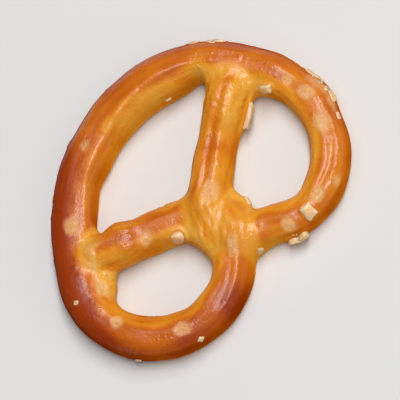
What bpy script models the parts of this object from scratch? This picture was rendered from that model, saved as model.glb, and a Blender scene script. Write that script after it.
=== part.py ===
"""A small crisp pretzel, baked flat on a belt and lying on its flat underside.

It is one rope of dough. The rope's middle is the bow, its two turns are the lobes, and its arms twist
round each other once in the knot and end pressed onto the bow. The dough is fused where the rope meets
itself, and coarse salt is baked into its top. Metres, +Z up, standing on Z = 0 with the knot towards +Y.
"""

import math
import random

import bmesh
import bpy
from mathutils import Matrix, Vector
from mathutils.bvhtree import BVHTree

MM = 0.001

# The rope's outline in millimetres, seen from above: three ellipses, two tips and a knot.
BOW = {"centre": (0.4, 3.4), "radii": (21.3, 19.2), "turn": 44}
LEFT_LOBE = {"centre": (-9.7, 0.2), "radii": (10.3, 12.1), "turn": 6}
RIGHT_LOBE = {"centre": (9.5, 1.6), "radii": (10.8, 10.4), "turn": -53}
LEFT_LANDING = (-15.3, -7.3)
RIGHT_LANDING = (14.8, -5.4)
KNOT_INNER_Y = 2.3
KNOT_OUTER_Y = 7.9
KNOT_MIDDLE_Y = (KNOT_INNER_Y + KNOT_OUTER_Y) / 2
KNOT_HALF_GAP = 1.6

# The rope's width in millimetres.
TIP_WIDTH = 6.0
ARM_WIDTH = 5.6
LANDING_WIDTH = 6.3
KNOT_WIDTH = 5.3
LOBE_WIDTH = 5.3
SHOULDER_WIDTH = 6.0
BOW_WIDTH = 6.6
THIN_BOW_WIDTH = 5.7
UNEVENNESS = 0.02

# The rope's section, as shares of its width: domed on top, square-sided and flat below.
DOME_RISE = 0.50
BASE_DROP = 0.46
REST_HEIGHT = 0.40
DOME_SQUARENESS = 2.2
BASE_SQUARENESS = 3.4
SECTION_SIDES = 24

# How far a strand climbs where it lies on another, in millimetres.
CROSSING_LIFT = 1.6
CROSSING_SINK = 0.3
LANDING_LIFT = 0.6

STEPS_PER_SPAN = 6
TIP_STEPS = 5
TIP_SWEEP = 86
VOXEL = 0.45 * MM
SMOOTH_STEPS = 8
DOUGH_TRIANGLES = 7000
CREASE_ANGLE = 40

# Coarse salt: where each crystal sits in the crust, half sunk, and how wide it is, in millimetres.
SALT_SEED = 7
SALT_FLATNESS = 0.7
SALT = (
    ((-9.0, 13.8, 5.2), 2.1),
    ((5.4, 2.2, 4.6), 2.0),
    ((-14.2, -4.4, 3.6), 1.6),
    ((-12.5, -3.4, 3.4), 1.6),
    ((-17.2, -2.3, 5.2), 1.4),
    ((2.6, -3.0, 2.6), 1.0),
    ((-3.6, 15.2, 2.8), 1.5),
    ((-5.2, 15.6, 3.0), 1.4),
    ((-5.7, 4.4, 3.0), 1.3),
    ((-23.2, 0.6, 4.2), 1.4),
    ((-23.0, 3.1, 4.4), 1.5),
    ((-21.6, 7.2, 4.4), 1.2),
    ((20.6, -1.8, 5.6), 1.4),
    ((-16.0, -15.6, 4.4), 1.1),
    ((-18.6, -12.6, 4.6), 1.4),
    ((6.2, -20.0, 3.6), 1.4),
    ((13.2, -15.8, 3.2), 1.3),
    ((-7.4, -12.0, 3.0), 1.2),
    ((13.0, 14.4, 3.8), 1.4),
    ((19.9, 8.6, 2.8), 1.2),
)


def clear_scene():
    for thing in list(bpy.data.objects):
        bpy.data.objects.remove(thing, do_unlink=True)


def new_collection(name):
    collection = bpy.data.collections.new(name)
    bpy.context.scene.collection.children.link(collection)
    return collection


def arc(shape, start, end, count, widths):
    """Points on an ellipse from one angle to another, with the rope's width eased between two values."""
    centre_x, centre_y = shape["centre"]
    radius_x, radius_y = shape["radii"]
    turn = math.radians(shape["turn"])
    points = []
    for i in range(count):
        share = i / (count - 1)
        angle = math.radians(start + (end - start) * share)
        along = radius_x * math.cos(angle)
        across = radius_y * math.sin(angle)
        x = centre_x + along * math.cos(turn) - across * math.sin(turn)
        y = centre_y + along * math.sin(turn) + across * math.cos(turn)
        points.append((x, y, 0.0, widths[0] + (widths[1] - widths[0]) * share))
    return points


def route():
    """The rope from its left tip to its right tip, as (x, y, lift, width) in millimetres."""
    left_arm = [
        (*LEFT_LANDING, LANDING_LIFT, TIP_WIDTH),
        (-12.2, -5.8, 0.4, LANDING_WIDTH),
        (-8.0, -3.6, 0.0, ARM_WIDTH),
        (-3.7, -0.4, 0.6, ARM_WIDTH),
    ]
    left_through_knot = [
        (-0.3, KNOT_INNER_Y, CROSSING_LIFT, KNOT_WIDTH),
        (KNOT_HALF_GAP, KNOT_MIDDLE_Y, 0.7, KNOT_WIDTH),
        (0.2, KNOT_OUTER_Y, -CROSSING_SINK, KNOT_WIDTH),
    ]
    left_lobe = arc(LEFT_LOBE, 46, 178, 6, (LOBE_WIDTH, LOBE_WIDTH))
    bow = (
        arc(BOW, 156, 216, 4, (SHOULDER_WIDTH, BOW_WIDTH))
        + arc(BOW, 232, 290, 4, (THIN_BOW_WIDTH + 0.5, SHOULDER_WIDTH))
    )
    right_lobe = arc(RIGHT_LOBE, 36, 190, 7, (SHOULDER_WIDTH, LOBE_WIDTH))
    right_through_knot = [
        (-0.1, KNOT_OUTER_Y, CROSSING_LIFT, KNOT_WIDTH),
        (-KNOT_HALF_GAP, KNOT_MIDDLE_Y, 0.7, KNOT_WIDTH),
        (0.2, KNOT_INNER_Y, -CROSSING_SINK, KNOT_WIDTH),
    ]
    right_arm = [
        (4.6, -0.4, 0.0, ARM_WIDTH),
        (8.6, -2.5, 0.0, ARM_WIDTH),
        (12.0, -4.1, 0.4, LANDING_WIDTH),
        (*RIGHT_LANDING, LANDING_LIFT, TIP_WIDTH),
    ]
    return (
        left_arm + left_through_knot + left_lobe + bow
        + right_lobe + right_through_knot + right_arm
    )


def smooth_through(points, steps):
    """A smooth curve through points of any number of values, paced by the distance between them."""
    points = [Vector(point) for point in points]
    gaps = [math.dist(one[:2], other[:2]) for one, other in zip(points, points[1:])]
    speeds = [(points[1] - points[0]) / gaps[0]]
    for i in range(1, len(points) - 1):
        arriving = (points[i] - points[i - 1]) / gaps[i - 1]
        leaving = (points[i + 1] - points[i]) / gaps[i]
        speeds.append((arriving * gaps[i] + leaving * gaps[i - 1]) / (gaps[i - 1] + gaps[i]))
    speeds.append((points[-1] - points[-2]) / gaps[-1])
    curve = []
    for i, gap in enumerate(gaps):
        for step in range(steps):
            t = step / steps
            curve.append(
                points[i] * (2 * t ** 3 - 3 * t ** 2 + 1)
                + speeds[i] * (gap * (t ** 3 - 2 * t ** 2 + t))
                + points[i + 1] * (3 * t ** 2 - 2 * t ** 3)
                + speeds[i + 1] * (gap * (t ** 3 - t ** 2))
            )
    curve.append(points[-1])
    return curve


def round_tip(last, before):
    """Stations past the end of the rope that close it as a ball, nearest first."""
    place, width = last
    forward = (place - before[0]).normalized()
    tip = []
    for i in range(1, TIP_STEPS + 1):
        angle = math.radians(TIP_SWEEP) * i / TIP_STEPS
        sunk = Vector((0, 0, width * REST_HEIGHT * (1 - math.cos(angle)) / 2))
        tip.append((place + forward * (width / 2 * math.sin(angle)) - sunk, width * math.cos(angle)))
    return tip


def rope_stations():
    """The rope's middle line as (place, width) in metres, with its rest height worked out from its width."""
    stations = []
    for i, (x, y, lift, width) in enumerate(smooth_through(route(), STEPS_PER_SPAN)):
        width *= 1 + UNEVENNESS * (math.sin(0.37 * i) + math.sin(0.83 * i + 1))
        place = Vector((x, y, width * REST_HEIGHT + lift)) * MM
        stations.append((place, width * MM))
    left_tip = round_tip(stations[0], stations[1])
    right_tip = round_tip(stations[-1], stations[-2])
    return left_tip[::-1] + stations + right_tip


def add_curve(name, points, collection, cyclic=False):
    """A POLY curve through (place, radius) pairs."""
    curve = bpy.data.curves.new(name, "CURVE")
    curve.dimensions = "3D"
    spline = curve.splines.new("POLY")
    spline.points.add(len(points) - 1)
    for point, (place, radius) in zip(spline.points, points):
        point.co = (*place, 1.0)
        point.radius = radius
    spline.use_cyclic_u = cyclic
    rope = bpy.data.objects.new(name, curve)
    collection.objects.link(rope)
    return rope


def add_section(collection):
    """The dough's section at a width of 1, which each station of the rope scales."""
    points = []
    for i in range(SECTION_SIDES):
        angle = 2 * math.pi * i / SECTION_SIDES
        across, up = math.cos(angle), math.sin(angle)
        power = 2 / (DOME_SQUARENESS if up > 0 else BASE_SQUARENESS)
        x = math.copysign(0.5 * abs(across) ** power, across)
        y = math.copysign((DOME_RISE if up > 0 else BASE_DROP) * abs(up) ** power, up)
        points.append(((x, y, 0.0), 1.0))
    section = add_curve("dough_section", points, collection, cyclic=True)
    section.data.dimensions = "2D"
    section.hide_render = True
    section.display_type = "WIRE"
    return section


def add_modifier(target, kind, **settings):
    modifier = target.modifiers.new(kind.title(), kind)
    for key, value in settings.items():
        setattr(modifier, key, value)
    return modifier


def as_mesh(source, name, collection):
    """A mesh object of what the source shows with its modifiers, which takes the source's place."""
    bpy.context.view_layer.update()
    evaluated = source.evaluated_get(bpy.context.evaluated_depsgraph_get())
    mesh = bpy.data.meshes.new_from_object(evaluated)
    mesh.name = name
    bpy.data.objects.remove(source, do_unlink=True)
    made = bpy.data.objects.new(name, mesh)
    collection.objects.link(made)
    return made


def make_rope(stations, parts, tools):
    """The rope as one swept body, closed at both tips, which still runs through itself at the knot."""
    rope = add_curve("rope", stations, parts)
    rope.data.twist_mode = "Z_UP"
    rope.data.bevel_mode = "OBJECT"
    rope.data.bevel_object = add_section(tools)
    rope.data.use_fill_caps = True
    rope = as_mesh(rope, "rope", parts)
    caps = bmesh.new()
    caps.from_mesh(rope.data)
    bmesh.ops.remove_doubles(caps, verts=caps.verts, dist=0.01 * MM)
    bmesh.ops.recalc_face_normals(caps, faces=caps.faces)
    caps.to_mesh(rope.data)
    caps.free()
    return rope


def fuse(rope, parts):
    """Melts the rope together where it meets itself, as dough does in the oven."""
    add_modifier(rope, "REMESH", mode="VOXEL", voxel_size=VOXEL)
    add_modifier(rope, "SMOOTH", factor=0.5, iterations=SMOOTH_STEPS)
    dough = as_mesh(rope, "dough", parts)
    triangles = sum(len(face.vertices) - 2 for face in dough.data.polygons)
    add_modifier(dough, "DECIMATE", ratio=DOUGH_TRIANGLES / triangles)
    return as_mesh(dough, "dough", parts)


def flatten_base(dough, parts, tools):
    """Cuts off what is below Z = 0, which leaves the flat face that lay on the baking belt."""
    size = 80 * MM
    bpy.ops.mesh.primitive_cube_add(size=size, location=(0, 0, -size / 2))
    belt = bpy.context.object
    belt.name = "belt_cutter"
    belt.hide_render = True
    belt.display_type = "WIRE"
    for collection in list(belt.users_collection):
        collection.objects.unlink(belt)
    tools.objects.link(belt)
    add_modifier(dough, "BOOLEAN", operation="DIFFERENCE", object=belt, solver="EXACT")
    return as_mesh(dough, "dough", parts)


def make_salt(dough, collection):
    """Coarse crystals, each a squat uneven block that stands in the nearest crust to its place."""
    draw = random.Random(SALT_SEED)
    crust_surface = BVHTree.FromObject(dough, bpy.context.evaluated_depsgraph_get())
    for number, (place, size) in enumerate(SALT):
        place, outward, _, _ = crust_surface.find_nearest(Vector(place) * MM)
        crystal = bmesh.new()
        bmesh.ops.create_cube(crystal, size=1.0)
        for corner in crystal.verts:
            corner.co *= draw.uniform(0.85, 1.1)
        shape = Matrix.Diagonal((1.0, draw.uniform(0.8, 1.0), SALT_FLATNESS, 1.0))
        spin = Matrix.Rotation(draw.uniform(0, math.tau), 4, "Z")
        face_out = outward.to_track_quat("Z", "Y").to_matrix().to_4x4()
        grow = Matrix.Scale(size * MM, 4)
        crystal.transform(Matrix.Translation(place) @ face_out @ grow @ spin @ shape)
        mesh = bpy.data.meshes.new(f"crystal_{number}")
        crystal.to_mesh(mesh)
        crystal.free()
        collection.objects.link(bpy.data.objects.new(f"crystal_{number}", mesh))


def bake_in(dough, crystals, parts):
    """Fuses the crystals to the dough with one Boolean union, and removes them."""
    add_modifier(
        dough, "BOOLEAN", operation="UNION", operand_type="COLLECTION",
        collection=crystals, solver="EXACT",
    )
    pretzel = as_mesh(dough, "pretzel", parts)
    for crystal in list(crystals.objects):
        bpy.data.objects.remove(crystal, do_unlink=True)
    return pretzel


def centre_on_origin(pretzel):
    """Moves the pretzel so that the middle of its box stands over the origin."""
    corners = [Vector(corner) for corner in pretzel.bound_box]
    middle = [(min(c[axis] for c in corners) + max(c[axis] for c in corners)) / 2 for axis in (0, 1)]
    pretzel.data.transform(Matrix.Translation((-middle[0], -middle[1], 0)))


def crust():
    material = bpy.data.materials.new("baked_crust")
    material.use_nodes = True
    shader = material.node_tree.nodes["Principled BSDF"]
    shader.inputs["Base Color"].default_value = (0.55, 0.19, 0.035, 1)
    shader.inputs["Roughness"].default_value = 0.35
    shader.inputs["Metallic"].default_value = 0.0
    return material


def main():
    clear_scene()
    parts = new_collection("pretzel")
    tools = new_collection("cutters_and_guides")
    crystals = new_collection("salt")
    dough = fuse(make_rope(rope_stations(), parts, tools), parts)
    dough = flatten_base(dough, parts, tools)
    make_salt(dough, crystals)
    pretzel = bake_in(dough, crystals, parts)
    centre_on_origin(pretzel)
    pretzel.data.materials.clear()
    pretzel.data.materials.append(crust())
    pretzel.data.shade_smooth()
    pretzel.data.set_sharp_from_angle(angle=math.radians(CREASE_ANGLE))


main()
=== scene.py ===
import math
import random

import bmesh
import bpy
import numpy as np
from mathutils import Matrix, Vector, noise
from mathutils.bvhtree import BVHTree


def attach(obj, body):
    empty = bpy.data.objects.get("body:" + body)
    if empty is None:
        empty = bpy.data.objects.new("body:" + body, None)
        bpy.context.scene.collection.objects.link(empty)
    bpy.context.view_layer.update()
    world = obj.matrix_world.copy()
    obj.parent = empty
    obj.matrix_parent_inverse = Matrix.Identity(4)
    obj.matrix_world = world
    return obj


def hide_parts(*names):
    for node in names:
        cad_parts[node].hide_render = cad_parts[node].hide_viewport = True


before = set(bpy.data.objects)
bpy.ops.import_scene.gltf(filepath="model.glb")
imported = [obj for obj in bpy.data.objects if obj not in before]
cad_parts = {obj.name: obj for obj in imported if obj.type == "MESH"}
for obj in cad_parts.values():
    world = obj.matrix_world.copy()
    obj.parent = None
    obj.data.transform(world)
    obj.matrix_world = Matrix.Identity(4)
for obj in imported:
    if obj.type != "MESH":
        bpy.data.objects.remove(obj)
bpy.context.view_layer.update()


# Dough. One rope of wheat dough, browned by its lye dip and glossy. Its middle is the bow, its two turns are
# the lobes, and its arms twist once round each other in the knot and end pressed onto the bow. The oven fuses
# the rope where it meets itself, and the belt it bakes on leaves the underside flat.

MM = 0.001

# The plan, in millimetres: the three ellipses that the rope follows, each turned by some degrees, where the arms
# end, and the knot with its two crossings. MIDDLE is the middle of the plan's box, which is the part's origin.
MIDDLE = (-0.106, -2.524)
BOW = {"centre": (0.4, 3.4), "radii": (21.3, 19.2), "turn": 44}
LEFT_LOBE = {"centre": (-9.7, 0.2), "radii": (10.3, 12.1), "turn": 6}
RIGHT_LOBE = {"centre": (9.5, 1.6), "radii": (10.8, 10.4), "turn": -53}
LEFT_LANDING = (-13.8, -6.55)
RIGHT_LANDING = (12.0, -4.1)
KNOT_INNER_Y = 2.3
KNOT_OUTER_Y = 7.9
KNOT_MIDDLE_Y = (KNOT_INNER_Y + KNOT_OUTER_Y) / 2
KNOT_HALF_GAP = 0.85

# The rope's width on each stretch, and the share by which it varies.
TIP_WIDTH = 6.0
ARM_WIDTH = 5.6
LANDING_WIDTH = 6.3
KNOT_WIDTH = 5.3
LOBE_WIDTH = 5.3
SHOULDER_WIDTH = 6.0
BOW_WIDTH = 6.6
THIN_BOW_WIDTH = 5.7
UNEVENNESS = 0.02

# The section: how far it reaches above and below the rope's middle and how high that lies, as shares of the width,
# and how square it is. Then how far the strands rise and sink where they cross and land.
DOME_RISE = 0.50
BASE_DROP = 0.46
REST_HEIGHT = 0.40
DOME_SQUARENESS = 2.2
BASE_SQUARENESS = 3.4
SECTION_SIDES = 24
CROSSING_LIFT = 1.0
CROSSING_SINK = 0.3
LANDING_LIFT = 0.6
STEPS_PER_SPAN = 6
TIP_STEPS = 5
TIP_SWEEP = 86


def arc(shape, start, end, count, widths):
    """Points on an ellipse from one angle to another, with the rope's width eased between two values."""
    centre_x, centre_y = shape["centre"]
    radius_x, radius_y = shape["radii"]
    turn = math.radians(shape["turn"])
    points = []
    for i in range(count):
        share = i / (count - 1)
        angle = math.radians(start + (end - start) * share)
        along = radius_x * math.cos(angle)
        across = radius_y * math.sin(angle)
        x = centre_x + along * math.cos(turn) - across * math.sin(turn)
        y = centre_y + along * math.sin(turn) + across * math.cos(turn)
        points.append((x, y, 0.0, widths[0] + (widths[1] - widths[0]) * share))
    return points


def smooth_through(points, steps):
    """A smooth curve through points of any number of values, paced by the distance between them."""
    points = [Vector(point) for point in points]
    gaps = [math.dist(one[:2], other[:2]) for one, other in zip(points, points[1:])]
    speeds = [(points[1] - points[0]) / gaps[0]]
    for i in range(1, len(points) - 1):
        arriving = (points[i] - points[i - 1]) / gaps[i - 1]
        leaving = (points[i + 1] - points[i]) / gaps[i]
        speeds.append((arriving * gaps[i] + leaving * gaps[i - 1]) / (gaps[i - 1] + gaps[i]))
    speeds.append((points[-1] - points[-2]) / gaps[-1])
    curve = []
    for i, gap in enumerate(gaps):
        for step in range(steps):
            t = step / steps
            curve.append(
                points[i] * (2 * t ** 3 - 3 * t ** 2 + 1)
                + speeds[i] * (gap * (t ** 3 - 2 * t ** 2 + t))
                + points[i + 1] * (3 * t ** 2 - 2 * t ** 3)
                + speeds[i + 1] * (gap * (t ** 3 - t ** 2))
            )
    curve.append(points[-1])
    return curve


def round_tip(last, before):
    """Stations past the end of the rope that close it as a ball, nearest first."""
    place, width = last
    forward = (place - before[0]).normalized()
    tip = []
    for i in range(1, TIP_STEPS + 1):
        angle = math.radians(TIP_SWEEP) * i / TIP_STEPS
        sunk = Vector((0, 0, width * REST_HEIGHT * (1 - math.cos(angle)) / 2))
        tip.append((place + forward * (width / 2 * math.sin(angle)) - sunk, width * math.cos(angle)))
    return tip


# The rope's route from the tip of the left arm to the tip of the right one: places on the plan, how far the rope
# is lifted there, and its width. The turns follow the ellipses from one angle to another.
route = [
    (*LEFT_LANDING, LANDING_LIFT, TIP_WIDTH),
    (-12.2, -5.8, 0.4, LANDING_WIDTH),
    (-8.0, -3.6, 0.0, ARM_WIDTH),
    (-3.7, -0.4, 0.6, ARM_WIDTH),
    (-0.3, KNOT_INNER_Y, CROSSING_LIFT, KNOT_WIDTH),
    (KNOT_HALF_GAP, KNOT_MIDDLE_Y, 0.5, KNOT_WIDTH),
    (0.2, KNOT_OUTER_Y, -CROSSING_SINK, KNOT_WIDTH),
    *arc(LEFT_LOBE, 46, 178, 6, (LOBE_WIDTH, LOBE_WIDTH)),
    *arc(BOW, 156, 216, 4, (SHOULDER_WIDTH, BOW_WIDTH)),
    *arc(BOW, 232, 290, 4, (THIN_BOW_WIDTH + 0.5, SHOULDER_WIDTH)),
    *arc(RIGHT_LOBE, 36, 190, 7, (SHOULDER_WIDTH, LOBE_WIDTH)),
    (-0.1, KNOT_OUTER_Y, CROSSING_LIFT, KNOT_WIDTH),
    (-KNOT_HALF_GAP, KNOT_MIDDLE_Y, 0.3, KNOT_WIDTH),
    (0.2, KNOT_INNER_Y, -CROSSING_SINK, KNOT_WIDTH),
    (4.6, -0.4, 0.0, ARM_WIDTH),
    (8.6, -2.5, 0.0, ARM_WIDTH),
    (10.5, -3.4, 0.4, LANDING_WIDTH),
    (*RIGHT_LANDING, LANDING_LIFT, TIP_WIDTH),
]
strand = []
for i, (x, y, lift, width) in enumerate(smooth_through(route, STEPS_PER_SPAN)):
    width *= 1 + UNEVENNESS * (math.sin(0.37 * i) + math.sin(0.83 * i + 1))
    strand.append((Vector((x, y, width * REST_HEIGHT + lift)), width))
stations = round_tip(strand[0], strand[1])[::-1] + strand + round_tip(strand[-1], strand[-2])
headings = []
for i in range(len(stations)):
    before, after = stations[max(i - 1, 0)][0], stations[min(i + 1, len(stations) - 1)][0]
    headings.append((after - before).normalized())

# Webs of dough that fill the corners of the holes where strands meet: the middle and half sizes of each.
WEBS = (
    ((3.1, 4.5, 2.5), (2.0, 3.2, 2.4)), ((-2.7, 4.4, 1.9), (2.1, 3.1, 1.8)),
    ((0.1, 0.2, 1.5), (2.6, 1.6, 1.4)), ((16.3, -1.4, 2.0), (1.5, 1.5, 2.2)),
    ((14.3, -4.7, 2.7), (2.5, 2.3, 2.9)),
)

# The rope is swept by extruding the dough's section from station to station.
rope = bmesh.new()
bmesh.ops.create_circle(rope, cap_ends=True, segments=SECTION_SIDES, radius=1.0)
for corner in rope.verts:
    across, rise, _ = corner.co
    power = 2 / (DOME_SQUARENESS if rise > 0 else BASE_SQUARENESS)
    corner.co.x = math.copysign(0.5 * abs(across) ** power, across)
    corner.co.y = math.copysign((DOME_RISE if rise > 0 else BASE_DROP) * abs(rise) ** power, rise)
stands = []
for (place, width), heading in zip(stations, headings):
    side = heading.cross((0, 0, 1)).normalized()
    stand = Matrix((side * width, side.cross(heading) * width, heading)).transposed().to_4x4()
    stand.translation = place
    stands.append(stand)
bmesh.ops.transform(rope, matrix=stands[0], verts=rope.verts)
rim = list(rope.edges)
for last_stand, stand in zip(stands, stands[1:]):
    grown = bmesh.ops.extrude_edge_only(rope, edges=rim)["geom"]
    rim = [thing for thing in grown if isinstance(thing, bmesh.types.BMEdge)]
    moved = [thing for thing in grown if isinstance(thing, bmesh.types.BMVert)]
    bmesh.ops.transform(rope, matrix=stand @ last_stand.inverted(), verts=moved)
bmesh.ops.edgeloop_fill(rope, edges=rim)
bmesh.ops.recalc_face_normals(rope, faces=rope.faces)
bmesh.ops.scale(rope, vec=(MM, MM, MM), verts=rope.verts)
for web_middle, half_sizes in WEBS:
    web = bmesh.ops.create_uvsphere(rope, u_segments=24, v_segments=12, radius=MM)["verts"]
    put = Matrix.Translation(Vector(web_middle) * MM) @ Matrix.Diagonal((*half_sizes, 1.0))
    bmesh.ops.transform(rope, matrix=put, verts=web)
rope_mesh = bpy.data.meshes.new("rope")
rope.to_mesh(rope_mesh)
rope.free()


def read_places(mesh):
    """The places of a mesh's points, in millimetres."""
    places = np.empty(len(mesh.vertices) * 3, np.float32)
    mesh.vertices.foreach_get("co", places)
    return places.reshape(-1, 3).astype(float) / MM


def read_outward(mesh):
    """Which way the skin faces at each of a mesh's points."""
    outward = np.empty(len(mesh.vertices) * 3, np.float32)
    mesh.vertex_normals.foreach_get("vector", outward)
    return outward.reshape(-1, 3).astype(float)


def write_places(mesh, places):
    """Puts a mesh's points at places in millimetres."""
    mesh.vertices.foreach_set("co", (places * MM).astype(np.float32).ravel())
    mesh.update()


def ease(values, low, high):
    """0 below low and 1 above high, with a smooth climb between them."""
    share = np.clip((values - low) / (high - low), 0, 1)
    return share * share * (3 - 2 * share)


def grain(places, size, seed):
    """Smooth noise of about -0.7 to 0.7 at each place, in lumps of a size in millimetres."""
    size = np.asarray(size, float)
    offset = np.array((17.3, 5.7, 11.1)) * seed
    return np.array([noise.noise(Vector(place)) for place in places / size + offset])


def distance(places, spot):
    """How far each place lies from a spot, seen from above."""
    return np.linalg.norm(places[:, :2] - spot, axis=1)


def bell(values, far):
    """1 at zero, with a smooth fall on both sides to almost nothing at twice as far as given."""
    return np.exp(-(values / far) ** 2)


# The rope's middle line, which tells where on it each point of the skin lies. The other strand is looked for only
# where the rope is at least so far on.
middle = np.array([place for place, _ in stations])
half = np.array([width / 2 for _, width in stations])
heading = np.array([h.to_2d().normalized() for h in headings])
side = np.stack((heading[:, 1], -heading[:, 0]), axis=1)
reach = np.concatenate(([0], np.cumsum(np.linalg.norm(np.diff(middle, axis=0), axis=1))))
bend = np.gradient(np.unwrap(np.arctan2(heading[:, 1], heading[:, 0])), reach)
OTHER_STRAND = 11.0
AT_A_TIME = 4000


def on_rope(places):
    """For each place: how far along the rope, across it and over its middle it lies, the rope's width there, how
    far it stands out of the rope's round section, and the gap between it and the other strand."""
    along, across, over, width, proud, gap = (np.empty(len(places)) for _ in range(6))
    for start in range(0, len(places), AT_A_TIME):
        some = slice(start, start + AT_A_TIME)
        offset = places[some, None, :] - middle[None]
        forward = (offset[..., :2] * heading).sum(-1)
        sideways = (offset[..., :2] * side).sum(-1)
        height = np.where(offset[..., 2] > 0, DOME_RISE, BASE_DROP) * 2 * half
        away = np.sqrt((forward ** 2 + sideways ** 2) / half ** 2 + (offset[..., 2] / height) ** 2)
        nearest = away.argmin(1)
        row = np.arange(len(nearest))
        sideways_here = sideways[row, nearest]
        stretch = np.clip(1 + bend[nearest] * sideways_here, 0.4, 3)
        along[some] = reach[nearest] + forward[row, nearest] / stretch
        across[some] = sideways_here
        over[some] = offset[row, nearest, 2]
        width[some] = half[nearest] * 2
        proud[some] = (away[row, nearest] - 1) * half[nearest]
        away[np.abs(reach[None] - reach[nearest][:, None]) < OTHER_STRAND] = 99
        other = away.argmin(1)
        gap[some] = (away[row, other] - 1) * half[other]
    return along, across, over, width, proud, gap


# The oven fuses it. The rope is remeshed as one skin, swollen and shrunk again so that narrow grooves close in
# round fillets, smoothed with the grooves melted most, and made fine enough to carry its wrinkles.
FUSE_VOXEL = 0.40
FUSE_SWELL = 0.55
FUSE_SMOOTHING = 6
MELT_REACH = 2.0
MELT_SMOOTHING = 34
dough = bpy.data.objects.new("dough", rope_mesh)
bpy.context.scene.collection.objects.link(dough)


def change(piece, kind, **settings):
    """Gives a piece's mesh a modifier's shape, and leaves no modifier on it."""
    modifier = piece.modifiers.new(kind.lower(), kind)
    for key, value in settings.items():
        setattr(modifier, key, value)
    bpy.context.view_layer.update()
    made = bpy.data.meshes.new_from_object(piece.evaluated_get(bpy.context.evaluated_depsgraph_get()))
    piece.modifiers.clear()
    before, piece.data = piece.data, made
    bpy.data.meshes.remove(before)


change(dough, "REMESH", mode="VOXEL", voxel_size=FUSE_VOXEL * MM)
for swell in (FUSE_SWELL, -FUSE_SWELL):
    change(dough, "DISPLACE", strength=swell * MM, mid_level=0.0)
    change(dough, "REMESH", mode="VOXEL", voxel_size=FUSE_VOXEL * MM)
    change(dough, "SMOOTH", factor=0.5, iterations=FUSE_SMOOTHING)
melting = 1 - ease(on_rope(read_places(dough.data))[5], 0, MELT_REACH)
melt = dough.vertex_groups.new(name="melt")
for vertex in np.flatnonzero(melting > 0.01):
    melt.add([int(vertex)], float(melting[vertex]), "REPLACE")
change(dough, "SMOOTH", factor=0.5, iterations=MELT_SMOOTHING, vertex_group="melt")
dough.vertex_groups.clear()
change(dough, "SUBSURF", levels=1, render_levels=1)
dough_mesh = dough.data
dough_mesh.name = "dough"

# Where each point of the finished skin lies: lean runs from -1 at the rope's inner wall to 1 at its outer one,
# and loop is 1 on the lobes and the bow and 0 on the arms, which have a hole on both sides.
ARM_END = (18, 24)
BOW_REACH = 20
places = read_places(dough_mesh)
outward = read_outward(dough_mesh)
along, across, over, width, proud, gap = on_rope(places)
rise = outward[:, 2]
lean = 2 * across / width
foot = ease(places[:, 2], 0.1, 0.7)
open_skin = ease(gap, 0.1, 1.4)
crown = ease(rise, -0.2, 0.5)
loop = ease(along, *ARM_END) * ease(reach[-1] - along, *ARM_END)
bow_turn = math.radians(BOW["turn"])
bow_axes = ((math.cos(bow_turn), -math.sin(bow_turn)), (math.sin(bow_turn), math.cos(bow_turn)))
out_of_bow = (places[:, :2] - BOW["centre"]) @ bow_axes / BOW["radii"]
out_of_bow = (np.linalg.norm(out_of_bow, axis=1) - 1) * BOW_REACH
from_landing = np.minimum(distance(places, LEFT_LANDING), distance(places, RIGHT_LANDING))
on_bow = ease(out_of_bow, -1.6, 0.6) * (1 - ease(from_landing, 5, 8))

# The strand's own place for marks that follow it: along it and round it. It is folded back below the rope, where
# its two sides meet, so that no mark breaks off there.
round_angle = np.arctan2(across, over)
round_it = round_angle * width / 2
to_below = math.pi - np.abs(round_angle)
folded = np.copysign(np.minimum(np.abs(round_angle), 2 * to_below), round_angle) * width / 2
strand_place = np.stack((along, folded, across * (1 - ease(to_below, 0.5, 1.0))), axis=1)

# The skin's relief, in millimetres: slow lumps, fine ribs, tight ridges along the rope where the skin stretched,
# blisters and flakes in patches, and folds down the knot.
SLOW_LUMP_HEIGHT = 0.12
LUMP_HEIGHT = 0.06
RIB_HEIGHT = 0.10
BLISTER_HEIGHT = 0.07
BLISTER_SIZE = 1.15
FLAKE_HEIGHT = 0.08
FOLD_HEIGHT = 0.15
FOLD_SIZES = (1.5, 0.7, 1.5)
KNOT_AXES = ((0.77, -0.64), (0.64, 0.77))
TIP_LUMP_HEIGHT = 0.12
# Each ridge: where it starts and ends along the rope, its place round the rope at its start and at its end, its
# half width and its height, which is below zero for a groove.
RIDGES = (
    (3, 18, 1.05, 1.0, 0.42, 0.14), (3, 18, 0.25, 0.15, 0.42, -0.16), (3, 18, -1.0, -1.25, 0.50, 0.10),
    (30, 38, -0.3, 0.6, 0.45, 0.09), (38, 48, 0.55, 0.65, 0.42, -0.16), (38, 48, -0.35, -0.4, 0.50, 0.10),
    (38, 49, 1.5, 1.5, 0.50, 0.12), (40, 55, -1.75, -1.95, 0.45, 0.11), (50, 60, 0.3, 0.9, 0.48, 0.09),
    (62, 80, 1.0, 1.4, 0.48, 0.09), (62, 75, -0.5, -0.5, 0.48, 0.12), (71, 104, -0.4, -3.05, 0.60, 0.24),
    (73, 104, -0.4, -3.05, 1.50, 0.36), (79, 102, 1.2, 0.2, 0.50, 0.08), (114, 130, -1.2, 0.6, 0.48, 0.11),
    (129, 138, -0.4, -1.4, 0.45, 0.09), (131, 141.5, 1.8, 0.6, 0.50, 0.16), (131, 140.5, 0.9, -0.1, 0.42, -0.10),
    (148, 161, 0.2, 1.2, 0.46, 0.10), (152, 161, -1.8, -2.0, 0.46, 0.10),
)
relief = SLOW_LUMP_HEIGHT * grain(places, 5.5, 1) + LUMP_HEIGHT * grain(places, 2.3, 2)
line = strand_place * (1, 0, 0)
near_ridge = np.zeros(len(places))
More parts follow.
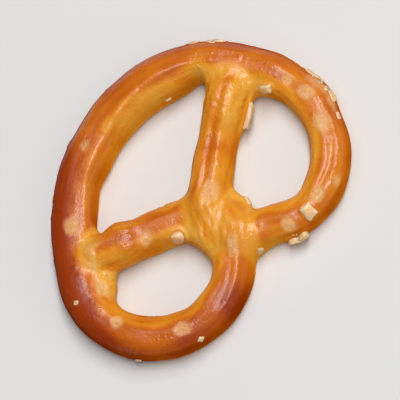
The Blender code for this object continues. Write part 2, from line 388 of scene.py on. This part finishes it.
for number, (start, end, first_offset, last_offset, half_width, tallness) in enumerate(RIDGES):
    wander = first_offset + (last_offset - first_offset) * (along - start) / (end - start)
    wander += 0.2 * grain(line, 4, 20 + number)
    strength = 0.65 + 0.35 * ease(grain(line, 4, 40 + number), -0.5, -0.1)
    strength *= ease(along, start - 2, start + 2) * ease(end - along, -2, 2)
    aside = (round_it - wander) / half_width
    relief += tallness * bell(aside, 1) * strength * open_skin
    near_ridge = np.maximum(near_ridge, bell(aside, 2.2) * strength)

# Ribs run everywhere on the open crown, faint outside their patches and beside a ridge.
ribs = grain(strand_place, (6, 0.85, 1), 3)
ribbed = ease(grain(places, 8, 4), -0.3, 0.25)
relief += RIB_HEIGHT * ribs * (0.25 + 0.75 * ribbed) * (1 - 0.8 * near_ridge) * open_skin * crown

# A strip from the right landing up the bow is blistered and flaky, and the knot is flaky and folded.
PATCH_START, PATCH_END = np.array((13.3, -6.2)), np.array((17.1, -0.3))
PATCH_REACH = 1.3
patch_line = PATCH_END - PATCH_START
share = np.clip((places[:, :2] - PATCH_START) @ patch_line / (patch_line @ patch_line), 0, 1)
off_line = places[:, :2] - PATCH_START - share[:, None] * patch_line
patch = bell(np.linalg.norm(off_line, axis=1), PATCH_REACH)
near_knot = 1 - ease(distance(places, (0, KNOT_MIDDLE_Y)), 2.0, 6.0)
from_cell = np.array([noise.voronoi(Vector(place))[0][0] for place in places / BLISTER_SIZE])
blister = ease(0.45 - from_cell, 0, 0.3) * ease(grain(places, 4, 7) + 0.6 * patch, 0.0, 0.3)
relief += BLISTER_HEIGHT * blister * crown
flakes = patch * ease(grain(places, 1.2, 31), -0.15, 0.2)
flakes += 0.25 * near_knot * ease(grain(places, 0.9, 32), 0.05, 0.35)
relief += FLAKE_HEIGHT * flakes * patch
knot_place = np.column_stack((places[:, :2] @ KNOT_AXES, places[:, 2]))
relief += FOLD_HEIGHT * grain(knot_place, FOLD_SIZES, 12) * near_knot

# The tip of the left arm is lumpy, and the notch beside the right landing is filled.
LANDING_NOTCH = (15.0, -5.35)
NOTCH_FILL = 0.32
NOTCH_REACH = 1.3
relief += TIP_LUMP_HEIGHT * grain(places, 0.75, 13) * ease(9 - along, 0, 3) * crown
relief += NOTCH_FILL * bell(distance(places, LANDING_NOTCH), NOTCH_REACH)
relief *= foot

# Scars where coarse salt fell off after baking, each a shallow rough dish in the skin: its place, half width, half
# length, turn in degrees, how pale it is, and the depth of the pit in its middle as a share of the deepest.
SCARS = (
    ((-19.9, -0.9), 0.6, 0.75, 80, 0.8, 0.0), ((-20.1, 2.2), 0.85, 1.2, 95, 0.9, 0.0),
    ((-18.7, 6.7), 1.2, 1.6, 75, 1.0, 0.2), ((-14.2, 13.5), 0.6, 0.75, 20, 0.7, 0.0),
    ((-11.3, 13.0), 0.85, 1.1, 10, 0.9, 0.2), ((-5.8, 12.7), 1.0, 1.1, 60, 0.9, 0.4),
    ((-2.3, 1.9), 1.2, 1.5, 30, 0.9, 0.5), ((8.1, -0.7), 0.9, 1.1, 0, 0.8, 0.0),
    ((13.5, -9.6), 1.05, 1.35, 50, 0.8, 0.2), ((4.4, -15.7), 0.7, 0.85, 0, 0.5, 0.0),
    ((18.7, 4.3), 0.9, 1.0, 70, 0.9, 1.0), ((13.6, 11.7), 0.9, 1.15, -30, 0.8, 0.2),
    ((1.1, 9.2), 0.8, 1.45, 42, 0.9, 0.0), ((16.9, -0.8), 0.85, 1.05, 50, 1.0, 0.5),
    ((-21.8, 2.4), 0.8, 1.9, 95, 0.6, 0.0), ((-21.4, 5.4), 0.6, 1.5, 95, 0.6, 0.0),
)
SCAR_DEPTH = 0.06
SCAR_RIM = 0.015
SCAR_SQUARENESS = 2.4
SCAR_RAGGEDNESS = 0.22
SCAR_LUMPS = 1.1
PIT_DEPTH = 0.08
PIT_PLACE = (0.1, -0.2)
PIT_REACH = 0.2
FAR_ABOVE = 20
scar = np.zeros(len(places))
pit = np.zeros(len(places))
skin = BVHTree.FromObject(dough, bpy.context.evaluated_depsgraph_get())
for (x, y), half_width, half_length, turn, paleness, pit_share in SCARS:
    spot, face_out, _, _ = skin.ray_cast(Vector((x, y, FAR_ABOVE)) * MM, Vector((0, 0, -1)))
    turned = Vector((math.cos(math.radians(turn)), math.sin(math.radians(turn)), 0))
    aside = face_out.cross(turned).normalized()
    frame_here = np.array((aside.cross(face_out), aside, face_out)).T
    local = (places - np.array(spot) / MM) @ frame_here / (half_length, half_width, 1)
    near = np.flatnonzero(np.linalg.norm(local, axis=1) < 2.5)
    away = (np.abs(local[near, :2]) ** SCAR_SQUARENESS).sum(1) ** (1 / SCAR_SQUARENESS)
    away += SCAR_RAGGEDNESS * grain(places[near], 1.0, x)
    dish = 1 - ease(away, 0.6, 1.0)
    roughness_here = 1 + SCAR_LUMPS * grain(places[near], 0.5, x + 1)
    relief[near] += SCAR_RIM * bell(away - 1.05, 0.2) - SCAR_DEPTH * dish * roughness_here
    scar[near] = np.maximum(scar[near], paleness * (1 - ease(away, 0.45, 1.3)))
    pit[near] = np.maximum(pit[near], pit_share * bell(distance(local[near], PIT_PLACE), PIT_REACH))
relief -= PIT_DEPTH * pit

# The skin takes its relief, its foot spreads on the belt, and nothing reaches below that.
FOOT_SPREAD = 0.28
FOOT_HEIGHT = 0.5
places += outward * relief[:, None]
spread = FOOT_SPREAD * bell(places[:, 2], FOOT_HEIGHT)
level = np.linalg.norm(outward[:, :2], axis=1)
places[:, :2] += outward[:, :2] / np.maximum(level, 0.3)[:, None] * spread[:, None]
places[:, 2] = np.maximum(places[:, 2], 0)

# The corners of the holes, where the rope lies on itself, are drawn out to points, and so is one side of the left
# lobe: where, how far round that the dough follows, and how far it is drawn to the right and up on the plan.
DRAWN = (
    (-11.3, -10.9, 1.7, -1.05, -0.40), (-8.9, -7.9, 2.0, -0.28, 0.29), (11.3, -6.9, 1.4, 0.62, 0.50),
    (4.8, 4.9, 1.5, -0.50, -0.14), (-10.0, 10.0, 1.8, 0.06, 0.38), (6.9, -11.6, 1.8, 0.26, -0.27),
    (8.0, -4.8, 1.8, 0.28, 0.24), (-22.3, 3.0, 2.4, -0.50, 0.05),
)
for x, y, far, draw_x, draw_y in DRAWN:
    places[:, :2] += bell(distance(places, (x, y)), far)[:, None] * (draw_x, draw_y)
plan = places.copy()
places[:, :2] -= MIDDLE
write_places(dough_mesh, places)
dough_mesh.shade_smooth()

# Browning, from 0 for straw to 1 for umber: deepest on the outer walls, orange on the crown, golden in the creases
# and on the walls of the holes. Painted shade is added to it: darker outer walls, a darker outer side of the bow
# at its lower left, darker grooves between the ribs, and darker and lighter spots where the rope was shaded and
# lit. Each value is what a place of that kind adds.
CROWN_BAKE = 0.58
GOLDEN_BAKE = -0.30
OUTER_WALL_BROWNING_AND_PAINTED_SHADE = 0.17
CREASE_BAKE = -0.18
WEB_BAKE = -0.45
PATCH_BAKE = -0.30
RIGHT_BAKE = 0.10
BOW_BAKE = 0.14
LEFT_BAKE = -0.10
PAINTED_SHADE_BAKE = 0.46
LEFT_LOBE_BAKE = -0.12
FOOT_BAKE = -0.30
LUMP_BAKE = 0.18
RIB_PAINTED_SHADE = -0.12
BLISTER_BAKE = 0.06
# Each spot made darker or lighter than that: its place, its reach and by how much.
# The spots are partly real browning and partly painted shade where neighbours shaded the rope, with painted light
# in its shaded corners.
BROWNING_AND_PAINTED_SHADING_SPOTS = (
    (-7.6, -15.0, 2.6, -0.28), (-4.6, -13.2, 2.2, -0.20), (2.8, -13.0, 1.9, -0.22), (-1.6, -14.2, 2.0, -0.14),
    (-1.1, -18.5, 2.2, -0.22), (3.1, -17.0, 1.8, -0.14), (4.8, -0.2, 1.8, -0.12), (7.0, 2.2, 1.2, -0.42),
    (12.2, -0.4, 1.9, -0.42), (10.1, -1.9, 1.2, 0.18), (13.6, 12.2, 1.8, 0.14), (16.7, 9.4, 2.0, -0.10),
    (-4.1, 12.7, 1.9, -0.26), (-14.6, -12.1, 2.8, -0.10), (6.4, 13.7, 2.6, 0.34), (-19.8, -3.0, 2.3, 0.14),
    (-15.5, 7.0, 1.7, 0.14), (-8.0, -0.9, 1.7, 0.16), (16.0, 7.0, 2.0, 0.16), (18.4, -1.6, 2.4, 0.34),
    (18.6, -4.6, 2.2, 0.22), (13.0, -9.5, 2.3, 0.28), (7.4, -14.9, 2.0, 0.16), (9.9, -11.9, 1.9, 0.10),
    (2.7, -14.9, 1.3, 0.14), (21.8, -0.6, 2.0, 0.30), (17.6, 2.2, 1.6, -0.14), (21.9, 6.2, 1.8, -0.16),
    (-2.3, 6.0, 1.3, -0.14), (-5.1, 5.8, 1.5, 0.14), (-6.2, 10.6, 2.2, 0.10), (-18.5, 4.0, 1.4, -0.12),
    (-12.5, -5.8, 2.4, -0.16), (-13.4, -11.2, 1.5, -0.45), (-16.6, -3.2, 1.6, -0.30),
)
inner = np.abs(lean) * (1 - loop) - lean * loop
golden = ease(inner + 0.35 * grain(places, 3.0, 8), 0.15, 0.5) * open_skin + 0.8 * (1 - open_skin)
golden *= 1 - on_bow
from_knot = distance(plan, (0, KNOT_MIDDLE_Y))
golden = np.maximum(golden, 0.85 * (1 - ease(from_knot, 2.5, 6.5)))
golden = np.maximum(golden, (1 - ease(rise, 0.15, 0.75)) * (1 - ease(from_knot, 6, 10)))
web = ease(proud, 0.15, 0.6)
# Painted shade on the outer side of the bow at its lower left, where the glaze is dulled too.
painted_shade_side = ease(along, 86, 97) * ease(121 - along, 0, 7)
browning_and_painted_shading = CROWN_BAKE + GOLDEN_BAKE * golden
# The outer walls are darkened, partly by browning and partly as painted shade.
browning_and_painted_shading += OUTER_WALL_BROWNING_AND_PAINTED_SHADE * ease(lean * loop, 0.3, 1.0) * (1 - golden)
browning_and_painted_shading += (CREASE_BAKE * (1 - open_skin) + WEB_BAKE * web + PATCH_BAKE * patch) * (1 - on_bow)
browning_and_painted_shading += RIGHT_BAKE * ease(places[:, 0], 4, 18)
browning_and_painted_shading += BOW_BAKE * ease(-places[:, 1], 1, 12) * loop
browning_and_painted_shading += LEFT_BAKE * ease(-places[:, 0], 5, 12) * ease(places[:, 1], -4, 2)
browning_and_painted_shading += PAINTED_SHADE_BAKE * ease(lean, -0.5, 0.9) * painted_shade_side
browning_and_painted_shading += LEFT_LOBE_BAKE * ease(along, 26, 32) * ease(44 - along, 0, 8)
# Spots of browning, of painted shade and of painted light.
for x, y, far, amount in BROWNING_AND_PAINTED_SHADING_SPOTS:
    browning_and_painted_shading += amount * bell(distance(plan, (x, y)), far)
browning_and_painted_shading += FOOT_BAKE * (1 - ease(places[:, 2] + 0.9 * grain(places, 2.5, 14), 0.2, 2.0))
browning_and_painted_shading += LUMP_BAKE * grain(places, 4.5, 6)
# Painted shade in the grooves between the ribs, and painted light on their crests.
browning_and_painted_shading += RIB_PAINTED_SHADE * ribs * open_skin * crown + BLISTER_BAKE * blister

# The belt's wires leave rows of darker marks on the underside: the distance of the rows and of the marks in a row,
# and a mark's half sizes. Every second row is half a step on.
BELT_PITCH = 5.9
BELT_STEP = 6.6
BELT_MARK = (0.85, 2.25)
BELT_BAKE = 0.42
row_place = places[:, :2] / (BELT_PITCH, BELT_STEP) + 0.05 * grain(places, 3.0, 15)[:, None]
row_place[:, 1] += 0.5 * (np.floor(row_place[:, 0]) % 2)
off_mark = np.abs(row_place % 1 - 0.5) * (BELT_PITCH, BELT_STEP) / BELT_MARK
browning_and_painted_shading += BELT_BAKE * (1 - ease(np.hypot(*off_mark.T), 0.6, 1.2)) * (1 - ease(rise, -0.95, -0.7))


def note(mesh, name, values):
    """Keeps a value at each of a mesh's points for its material to read."""
    layer = mesh.attributes.new(name, "FLOAT", "POINT")
    layer.data.foreach_set("value", values.astype(np.float32))


CREASE_WIDTH = 0.8
note(dough_mesh, "browning_and_painted_shading", browning_and_painted_shading)
note(dough_mesh, "crease", bell(np.maximum(gap, 0), CREASE_WIDTH) * (1 - on_bow))
note(dough_mesh, "scar", scar)
note(dough_mesh, "pit", pit)
note(dough_mesh, "flakes", flakes)
# The glaze is dulled on the side where shade is painted.
note(dough_mesh, "glazed", ease(rise, 0.35, 0.8) * (1 - 0.75 * painted_shade_side * ease(lean, -0.4, 0.5)))
strand_layer = dough_mesh.attributes.new("strand_place", "FLOAT_VECTOR", "POINT")
strand_layer.data.foreach_set("vector", strand_place.astype(np.float32).ravel())


class Finish:
    """A socket of a material, on which shader maths is written like sums."""

    def __init__(self, tree, socket=None):
        self.tree = tree
        self.socket = socket

    def node(self, kind, sockets=None, out=0, stops=None, **settings):
        """A new node with its sockets fed, its colour stops and its settings, as the output that is asked for."""
        made = self.tree.nodes.new(kind)
        for key, value in settings.items():
            setattr(made, key, value)
        if stops:
            made.color_ramp.elements.remove(made.color_ramp.elements[1])
            made.color_ramp.elements[0].position = stops[0][0]
            made.color_ramp.elements[0].color = stops[0][1]
            for place, colour in stops[1:]:
                made.color_ramp.elements.new(place).color = colour
        for key, value in (sockets or {}).items():
            if isinstance(value, Finish):
                self.tree.links.new(value.socket, made.inputs[key])
            else:
                made.inputs[key].default_value = value
        return Finish(self.tree, made.outputs[out])

    def sum(self, operation, first, second):
        return self.node("ShaderNodeMath", {0: first, 1: second}, operation=operation)

    def __add__(self, other):
        return self.sum("ADD", self, other)

    def __sub__(self, other):
        return self.sum("SUBTRACT", self, other)

    def __rsub__(self, other):
        return self.sum("SUBTRACT", other, self)

    def __mul__(self, other):
        return self.sum("MULTIPLY", self, other)

    def __rmul__(self, other):
        return self.sum("MULTIPLY", other, self)

    def read(self, name, out=2):
        """What a mesh keeps at each of its points: a value, or a place when it is asked for as output 1."""
        return self.node("ShaderNodeAttribute", attribute_name=name, out=out)

    def climb(self, low, high):
        """0 below low and 1 above high, with a smooth climb between them."""
        return self.node(
            "ShaderNodeMapRange", {"Value": self, "From Min": low, "From Max": high},
            interpolation_type="SMOOTHSTEP",
        )

    def tint(self, first, second):
        """The first colour where this is 0 and the second where it is 1."""
        return self.node("ShaderNodeMix", {0: self, 6: first, 7: second}, out=2, data_type="RGBA")


def new_finish(name):
    """A new material, the start of its maths, and its shader."""
    material = bpy.data.materials.new(name)
    material.use_nodes = True
    return material, Finish(material.node_tree), material.node_tree.nodes["Principled BSDF"]


def feed(tree, shader, **sockets):
    """Sets a shader's sockets, or links what is to feed them."""
    for key, value in sockets.items():
        slot = shader.inputs[key.replace("_", " ")]
        if isinstance(value, Finish):
            tree.links.new(value.socket, slot)
        else:
            slot.default_value = value


STRAW = (0.84, 0.40, 0.045, 1)
PALE_GOLD = (0.82, 0.33, 0.026, 1)
GOLD = (0.80, 0.29, 0.014, 1)
ORANGE = (0.65, 0.160, 0.006, 1)
BROWN = (0.47, 0.080, 0.003, 1)
UMBER = (0.34, 0.040, 0.002, 1)
FLAKE = (0.83, 0.45, 0.15, 1)
SCAR_TAN = (0.84, 0.44, 0.15, 1)
SALT_FILM = (0.92, 0.62, 0.33, 1)

# How much the mottling, the streaks and the finest lines change the browning, and how high those and the other
# marks stand, in millimetres.
MOTTLE_TONE = 0.30
STREAK_TONE = 0.24
HAIR_TONE = 0.10
STREAK_HEIGHT = 0.04
WRINKLE_HEIGHT = 0.05
HAIR_HEIGHT = 0.012
PIMPLE_HEIGHT = 0.045
SKIN_GRAIN_HEIGHT = 0.03
SCAR_GRAIN_HEIGHT = 0.12
PIMPLE_SIZE = 0.62
# How far the colours of the creases, the scars, the flakes and the pits cover the browning.
CREASE_COVER = 0.6
SCAR_COVER = 0.82
FLAKE_COVER = 0.6
PIT_COVER = 0.5
# How rough the glaze's shine is: on bare skin, less where it is glazed, and more in mottled skin and in scars.
BARE_ROUGHNESS = 0.60
GLAZE_SMOOTHING = 0.34
MOTTLE_ROUGHNESS = 0.2
SCAR_ROUGHNESS = 0.25

crust, maths, crust_shader = new_finish("crust")
here = maths.node(
    "ShaderNodeVectorMath", {0: maths.node("ShaderNodeTexCoord", out=3), "Scale": 1 / MM}, operation="SCALE",
)


def blotches(place, size, stretch=None, **settings):
    """Noise of 0 to 1 in lumps of a size in millimetres, or of a length and a width on the strand."""
    if stretch:
        place = maths.node("ShaderNodeMapping", {"Vector": place, "Scale": (size / stretch, 1.0, 1.0)})
    return maths.node("ShaderNodeTexNoise", {"Vector": place, "Scale": 1 / size, **settings})


scarred, creased, on_strand = maths.read("scar"), maths.read("crease"), maths.read("strand_place", out=1)
mottle = blotches(here, 2.4, Detail=4.0, Roughness=0.6)
streak = blotches(on_strand, 0.6, stretch=4.5, Detail=4.0, Roughness=0.6, Distortion=0.5)
hair = blotches(on_strand, 0.22, stretch=2.0, Detail=3.0, Roughness=0.6, Distortion=0.8)
fine = blotches(here, 0.3, Detail=3.0, Roughness=0.6)
wrinkle = blotches(on_strand, 0.9, stretch=0.6, Detail=2.0, Roughness=0.5, Distortion=0.4)
pimple_cells = maths.node("ShaderNodeTexVoronoi", {"Vector": here, "Scale": 1 / PIMPLE_SIZE}, out=0, feature="F1")
pimple_patch = blotches(here, 3.2, Detail=2.0).climb(0.46, 0.60)
pimples = (1 - pimple_cells.climb(0.0, 0.45)) * pimple_patch
# The tone starts from the browning, with its painted shade and light.
tone = maths.read("browning_and_painted_shading") + (mottle - 0.5) * MOTTLE_TONE - (streak - 0.5) * STREAK_TONE - (hair - 0.5) * HAIR_TONE
skin_colour = tone.node(
    "ShaderNodeValToRGB", {0: tone},
    stops=((0.0, STRAW), (0.24, GOLD), (0.52, ORANGE), (0.82, BROWN), (1.0, UMBER)),
)
colour = (creased * CREASE_COVER).tint(skin_colour, PALE_GOLD)
film = blotches(here, 0.5, Detail=3.0)
colour = (scarred * SCAR_COVER).tint(colour, film.climb(0.5, 0.7).tint(SCAR_TAN, SALT_FILM))
colour = (maths.read("flakes") * FLAKE_COVER).tint(colour, FLAKE)
colour = (maths.read("pit") * PIT_COVER).tint(colour, BROWN)
free = 1 - creased
ripples = (streak - 0.5) * STREAK_HEIGHT + (wrinkle - 0.5) * WRINKLE_HEIGHT
height = ripples * free + (hair - 0.5) * free * HAIR_HEIGHT
height = height + (fine - 0.5) * (scarred * SCAR_GRAIN_HEIGHT + SKIN_GRAIN_HEIGHT) + pimples * PIMPLE_HEIGHT
bump = maths.node("ShaderNodeBump", {"Strength": 1.0, "Distance": MM, "Height": height})

# Only the crown is glazed, and the walls are dry.
glazed = maths.read("glazed")
dull = BARE_ROUGHNESS - GLAZE_SMOOTHING * glazed + (mottle - 0.5) * MOTTLE_ROUGHNESS + scarred * SCAR_ROUGHNESS
feed(
    crust.node_tree, crust_shader, Base_Color=colour, Roughness=dull, Normal=bump, Specular_IOR_Level=0.46,
)
glaze = Finish(crust.node_tree, crust_shader.outputs[0])
dry = maths.node(
    "ShaderNodeBsdfPrincipled",
    {"Base Color": colour, "Roughness": 1.0, "Specular IOR Level": 0.0, "Normal": bump},
)
surface = maths.node("ShaderNodeMixShader", {0: glazed, 1: dry, 2: glaze})
crust.node_tree.links.new(surface.socket, crust.node_tree.nodes["Material Output"].inputs["Surface"])
dough_mesh.materials.clear()
dough_mesh.materials.append(crust)
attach(dough, "root")
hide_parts("pretzel")


# Salt. Coarse crystals of pretzel salt, pressed into the wet dough and baked in. Each is a squat clouded block
# with worn white edges that stands half sunk in the crust, and broken grains have gathered in the creases.

# A crystal's least thickness for its length, how far the dough swells round it for how far it stands out, how worn
# it is in large and in small lumps, and how finely its mesh is cut.
SALT_FLATNESS = 0.62
LIP = 0.35
LARGE_WEAR = 0.18
SMALL_WEAR = 0.08
CRYSTAL_CUTS = 5
GRAIN_CUTS = 2
# Each crystal: the place it lies nearest to, its length, its width and how far it stands out of the crust for its
# length, how blocky it is from 0 for round to 1 for square, and its turn on the crust in degrees.
CRYSTALS = (
    ((-8.8, 13.9, 4.9), 2.1, 0.76, 0.16, 0.8, 87), ((5.9, 3.0, 4.3), 2.2, 0.85, 0.34, 0.0, 0),
    ((-13.0, -2.3, 2.8), 3.8, 0.32, 0.21, 0.35, 12), ((-16.7, -2.5, 4.3), 2.0, 0.66, 0.17, 0.6, 30),
    ((2.7, -2.8, 2.8), 0.9, 0.9, 0.22, 0.6, 70), ((-3.9, 15.6, 1.8), 2.0, 0.6, 0.45, 0.3, -10),
    ((-5.4, 15.8, 2.2), 1.7, 0.6, 0.45, 0.4, 25), ((-5.2, 5.6, 2.4), 1.4, 0.7, 0.30, 0.3, 0),
    ((-23.2, 0.6, 3.0), 2.6, 0.6, 0.09, 0.3, 0), ((-22.6, 4.6, 3.0), 2.3, 0.6, 0.10, 0.3, 15),
    ((-21.6, 7.6, 3.8), 1.1, 0.6, 0.18, 0.5, 0), ((20.6, -1.8, 5.4), 0.8, 0.8, 0.14, 0.4, 55),
    ((-16.0, -15.6, 4.4), 1.4, 0.6, 0.14, 0.4, 0), ((-18.6, -12.6, 4.6), 1.8, 0.5, 0.14, 0.4, 8),
    ((6.2, -20.0, 3.6), 1.1, 0.7, 0.20, 0.6, -20), ((13.2, -15.8, 3.2), 1.0, 0.7, 0.20, 0.8, 12),
    ((-7.4, -12.0, 3.0), 0.9, 0.7, 0.22, 0.5, 0), ((13.0, 14.4, 3.8), 0.9, 0.9, 0.20, 0.7, 35),
    ((19.9, 8.6, 2.2), 0.8, 0.7, 0.20, 0.6, 0), ((-0.8, 11.5, 2.3), 1.6, 0.7, 0.16, 0.2, 80),
)
# Each cluster of broken grains: its middle, its reach and how many there are.
GRAINS = (
    ((-4.2, 15.2, 3.0), 1.1, 7), ((-23.0, 2.0, 3.4), 1.6, 5), ((-17.8, -13.4, 4.0), 1.4, 5),
    ((-11.8, -2.8, 2.4), 0.6, 3),
)
# Both sources of chance start from a set number, so that the crystals come out the same each time.
draw = random.Random(7)
noise.seed_set(7)
crust_surface = BVHTree.FromObject(dough, bpy.context.evaluated_depsgraph_get())
bed = read_places(dough_mesh)
outward = read_outward(dough_mesh)
lip = np.zeros(len(bed))
salt_shape = bmesh.new()
worn = salt_shape.verts.layers.float.new("worn")
toasted = salt_shape.verts.layers.float.new("toasted")


def press_in(place, length, narrow, proud, blocky, turn, cuts):
    """Presses one crystal into the crust at the point nearest to a place, and swells the dough round it."""
    first = len(salt_shape.verts)
    cube = bmesh.ops.create_cube(salt_shape, size=2.0)["verts"]
    edges = list({edge for corner in cube for edge in corner.link_edges})
    bmesh.ops.subdivide_edges(salt_shape, edges=edges, cuts=cuts, use_grid_fill=True)
    salt_shape.verts.ensure_lookup_table()
    crystal = salt_shape.verts[first:]
    roundness = 2.3 + 4.5 * blocky
    seed = Vector((draw.uniform(0, 99), draw.uniform(0, 99), draw.uniform(0, 99)))
    for point in crystal:
        point[worn] = sorted(abs(value) for value in point.co)[1] ** 4
        point[toasted] = 1 - blocky
        point.co *= 0.5 / sum(abs(value) ** roundness for value in point.co) ** (1 / roundness)
        lumps = LARGE_WEAR * noise.noise_vector(point.co * 1.6 + seed)
        lumps += SMALL_WEAR * noise.noise_vector(point.co * 4 + seed)
        point.co += lumps * (0.75 + 0.25 * blocky)
    spot, face_out, _, _ = crust_surface.find_nearest(Vector(place) * MM - Vector((*MIDDLE, 0)) * MM)
    turned = face_out.to_track_quat("Z", "Y").to_matrix() @ Matrix.Rotation(math.radians(turn), 3, "Z")
    thick = max(SALT_FLATNESS, 2 * proud)
    shape = Matrix.Translation((0, 0, proud - thick / 2)) @ Matrix.Diagonal((1.0, narrow, thick, 1.0))
    place_it = Matrix.Translation(spot) @ turned.to_4x4() @ Matrix.Scale(length * MM, 4) @ shape
    bmesh.ops.transform(salt_shape, matrix=place_it, verts=crystal)
    local = (bed - np.array(spot) / MM) @ np.array(turned) / (length / 2, length * narrow / 2, length)
    near = np.flatnonzero(np.linalg.norm(local, axis=1) < 2.5)
    away = np.linalg.norm(local[near], axis=1)
    lip[near] = np.maximum(lip[near], LIP * proud * length * bell(away - 1.15, 0.3))


for place, *size_and_turn in CRYSTALS:
    press_in(place, *size_and_turn, CRYSTAL_CUTS)
for (x, y, height), spread, count in GRAINS:
    for _ in range(count):
        place = [draw.gauss(value, spread / 2) for value in (x, y)] + [draw.gauss(height, spread / 4)]
        press_in(
            place, length=draw.uniform(0.4, 0.8), narrow=draw.uniform(0.6, 1.0), proud=0.22,
            blocky=draw.uniform(0.2, 0.9), turn=draw.uniform(0, 180), cuts=GRAIN_CUTS,
        )
bed += outward * lip[:, None]
bed[:, 2] = np.maximum(bed[:, 2], 0)
write_places(dough_mesh, bed)
salt_mesh = bpy.data.meshes.new("salt")
salt_shape.to_mesh(salt_mesh)
salt_shape.free()
salt = bpy.data.objects.new("salt", salt_mesh)
bpy.context.scene.collection.objects.link(salt)
salt_mesh.shade_smooth()

# The salt is clouded inside and white at its worn edges, and the rounder crystals are more toasted.
CLEAR_SALT = (0.83, 0.49, 0.21, 1)
WHITE_SALT = (0.95, 0.76, 0.50, 1)
TOASTED_SALT = (0.76, 0.42, 0.17, 1)
CLOUDS_PER_METRE = 1800.0
clouded, maths, salt_shader = new_finish("salt")
here = maths.node("ShaderNodeTexCoord", out=3)
cloud = maths.node(
    "ShaderNodeTexNoise", {"Vector": here, "Scale": CLOUDS_PER_METRE, "Detail": 4.0, "Roughness": 0.65},
)
frost = (cloud.climb(0.42, 0.62) * 0.45 + maths.read("worn") * 0.75).climb(0.0, 1.0)
milk = frost.tint(CLEAR_SALT, WHITE_SALT)
milk = (maths.read("toasted") * 0.45).tint(milk, TOASTED_SALT)
facets = maths.node("ShaderNodeBump", {"Strength": 0.7, "Distance": 0.12 * MM, "Height": cloud})
feed(
    clouded.node_tree, salt_shader, Base_Color=milk, Roughness=0.28, Normal=facets,
    Subsurface_Weight=0.7, Subsurface_Radius=(1.0, 0.8, 0.6), Subsurface_Scale=0.5 * MM, IOR=1.54,
)
salt_mesh.materials.append(clouded)
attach(salt, "root")


# Floor, light and camera. A plain pale table top, and three soft boxes: a narrow one beyond the top of the view, a
# broad one by the camera's right and a small one at its upper left. The camera is where the photograph was taken
# from: 68 degrees up, on the side of the notch between the lobes.

FLOOR_HALF_SIZE = 1.5
TABLE_TOP = (0.74, 0.735, 0.725, 1)
floor_shape = bmesh.new()
bmesh.ops.create_grid(floor_shape, x_segments=1, y_segments=1, size=FLOOR_HALF_SIZE)
floor_mesh = bpy.data.meshes.new("floor")
floor_shape.to_mesh(floor_mesh)
floor_shape.free()
floor = bpy.data.objects.new("floor", floor_mesh)
bpy.context.scene.collection.objects.link(floor)
paint, _, floor_shader = new_finish("floor")
feed(paint.node_tree, floor_shader, Base_Color=TABLE_TOP, Roughness=0.9)
floor_mesh.materials.append(paint)

# The camera's tilt from straight above, its heading on the table, its distance, and the width that it sees.
TILT = math.radians(22)
HEADING = (0.742, 0.67)
DISTANCE = 0.45
VIEW_WIDTH = 53.0
right = Vector((-HEADING[1], HEADING[0] * math.cos(TILT), -HEADING[0] * math.sin(TILT))).normalized()
up = Vector((-HEADING[0], -HEADING[1] * math.cos(TILT), HEADING[1] * math.sin(TILT))).normalized()
back = right.cross(up)
seen = places @ np.array((right, up, back)).T
aim = Vector()
for axis, low, high in zip((right, up, back), seen.min(0), seen.max(0)):
    aim += axis * float(low + high) / 2
aim *= MM
view = bpy.data.cameras.new("camera")
view.sensor_width = 36
view.lens = view.sensor_width * DISTANCE / (VIEW_WIDTH * MM)
view.clip_start = 0.01
camera = bpy.data.objects.new("camera", view)
camera.matrix_world = Matrix((right, up, back)).transposed().to_4x4()
camera.location = aim + back * DISTANCE
bpy.context.scene.collection.objects.link(camera)
bpy.context.scene.camera = camera

LIGHT_DISTANCE = 0.8
SKY_COLOUR = (0.95, 0.97, 1.0, 1)
SKY_STRENGTH = 0.08


def soft_box(name, direction, width, height, watts):
    """A light of a width and a height across the view, which faces the pretzel from a direction."""
    away = Vector(direction).normalized()
    across = up.cross(away).normalized()
    light = bpy.data.lights.new(name, "AREA")
    light.shape = "RECTANGLE"
    light.size, light.size_y, light.energy = width, height, watts
    lamp = bpy.data.objects.new(name, light)
    lamp.matrix_world = Matrix((across, away.cross(across), away)).transposed().to_4x4()
    lamp.location = away * LIGHT_DISTANCE
    bpy.context.scene.collection.objects.link(lamp)


soft_box("key_light", back + up * 0.5 - right * 0.02, width=0.16, height=0.75, watts=5.2)
soft_box("fill_light", back + right * 0.35 - up * 0.05, width=1.2, height=1.2, watts=2.1)
soft_box("side_light", back - right * 0.53 + up * 0.5, width=0.4, height=0.3, watts=0.8)
sky = bpy.data.worlds.new("sky")
sky.use_nodes = True
sky.node_tree.nodes["Background"].inputs["Color"].default_value = SKY_COLOUR
sky.node_tree.nodes["Background"].inputs["Strength"].default_value = SKY_STRENGTH
bpy.context.scene.world = sky
bpy.context.scene.view_settings.view_transform = "Standard"
